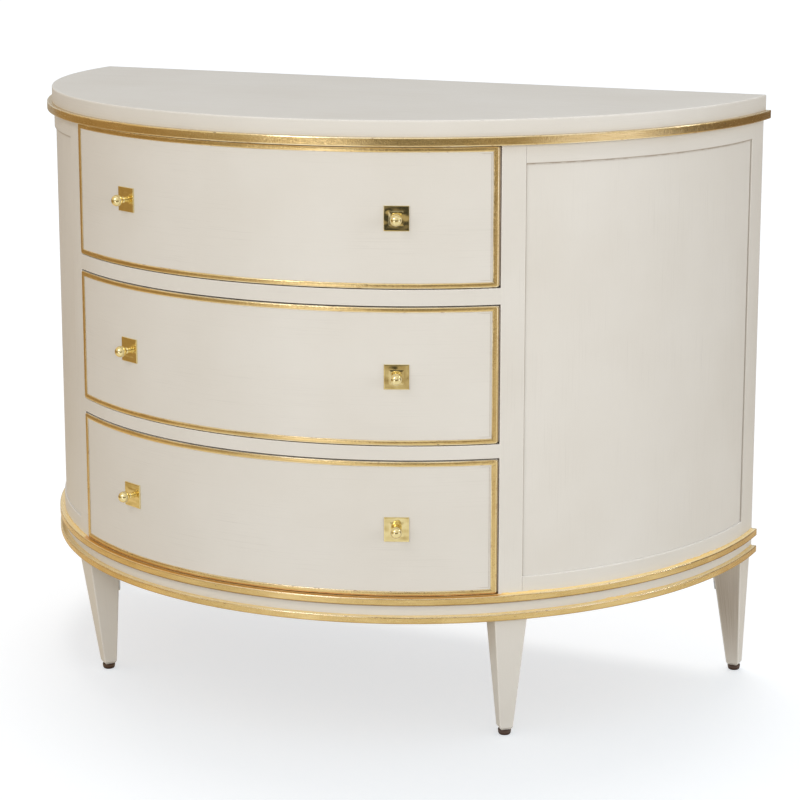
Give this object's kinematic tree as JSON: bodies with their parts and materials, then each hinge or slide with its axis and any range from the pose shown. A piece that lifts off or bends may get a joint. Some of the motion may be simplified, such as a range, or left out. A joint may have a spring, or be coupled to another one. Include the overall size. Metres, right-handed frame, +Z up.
{
  "type": "accent chest",
  "caption": "Half-round accent chest with a flat back, bow-front drawers edged with gilt beads, gilt mouldings at the top and base, brass knobs on square plates and tapered legs.",
  "frame": {"origin": "on the floor, under the middle of the overall box", "axes": "+X along the flat back, towards the chest's right-hand end as seen from the front; -Y towards the front, out of the drawers; +Y towards the wall; +Z up"},
  "size_m": [1.1532, 0.5906, 0.889],
  "materials": {
    "cream_lacquer": "satin cream lacquer over wood",
    "gold_leaf": "rubbed gold leaf over wood",
    "polished_brass": "polished",
    "bare_hardwood": "bare, lightly sealed",
    "plywood": "bare veneered board",
    "zinc_plated_steel": "zinc plated",
    "dark_brown_plastic": "satin"
  },
  "bodies": {
    "case": {"top_slab": "cream_lacquer", "top_moulding": "gold_leaf", "top_board": "plywood", "front_stile_left": "cream_lacquer", "front_stile_right": "cream_lacquer", "side_frame_left": "cream_lacquer", "side_frame_right": "cream_lacquer", "side_panel_left": "cream_lacquer", "side_panel_right": "cream_lacquer", "drawer_rail_upper": "cream_lacquer", "drawer_rail_lower": "cream_lacquer", "partition_left": "plywood", "partition_right": "plywood", "back_panel": "plywood", "bottom_board": "plywood", "base_moulding_upper": "gold_leaf", "base_frieze": "cream_lacquer", "base_moulding_lower": "gold_leaf", "leg_front_left": "cream_lacquer", "leg_front_right": "cream_lacquer", "leg_rear_left": "cream_lacquer", "leg_rear_right": "cream_lacquer", "leg_bracket_front_left": "zinc_plated_steel", "leg_bracket_front_right": "zinc_plated_steel", "leg_bracket_rear_left": "zinc_plated_steel", "leg_bracket_rear_right": "zinc_plated_steel", "foot_glide_front_left": "dark_brown_plastic", "foot_glide_front_right": "dark_brown_plastic", "foot_glide_rear_left": "dark_brown_plastic", "foot_glide_rear_right": "dark_brown_plastic"},
    "upper_drawer": {"upper_drawer_front": "cream_lacquer", "upper_drawer_bead": "gold_leaf", "upper_drawer_side_left": "bare_hardwood", "upper_drawer_side_right": "bare_hardwood", "upper_drawer_back": "bare_hardwood", "upper_drawer_bottom": "plywood", "upper_drawer_knob_left": "polished_brass", "upper_drawer_knob_right": "polished_brass", "upper_drawer_knob_plate_left": "polished_brass", "upper_drawer_knob_plate_right": "polished_brass"},
    "middle_drawer": {"middle_drawer_front": "cream_lacquer", "middle_drawer_bead": "gold_leaf", "middle_drawer_side_left": "bare_hardwood", "middle_drawer_side_right": "bare_hardwood", "middle_drawer_back": "bare_hardwood", "middle_drawer_bottom": "plywood", "middle_drawer_knob_left": "polished_brass", "middle_drawer_knob_right": "polished_brass", "middle_drawer_knob_plate_left": "polished_brass", "middle_drawer_knob_plate_right": "polished_brass"},
    "lower_drawer": {"lower_drawer_front": "cream_lacquer", "lower_drawer_bead": "gold_leaf", "lower_drawer_side_left": "bare_hardwood", "lower_drawer_side_right": "bare_hardwood", "lower_drawer_back": "bare_hardwood", "lower_drawer_bottom": "plywood", "lower_drawer_knob_left": "polished_brass", "lower_drawer_knob_right": "polished_brass", "lower_drawer_knob_plate_left": "polished_brass", "lower_drawer_knob_plate_right": "polished_brass"}
  },
  "joints": [
    {"name": "upper_drawer_slide", "type": "slide", "parent": "case", "child": "upper_drawer", "axis": [0, -1, 0], "range_m": [0, 0.3]},
    {"name": "middle_drawer_slide", "type": "slide", "parent": "case", "child": "middle_drawer", "axis": [0, -1, 0], "range_m": [0, 0.3]},
    {"name": "lower_drawer_slide", "type": "slide", "parent": "case", "child": "lower_drawer", "axis": [0, -1, 0], "range_m": [0, 0.3]}
  ]
}
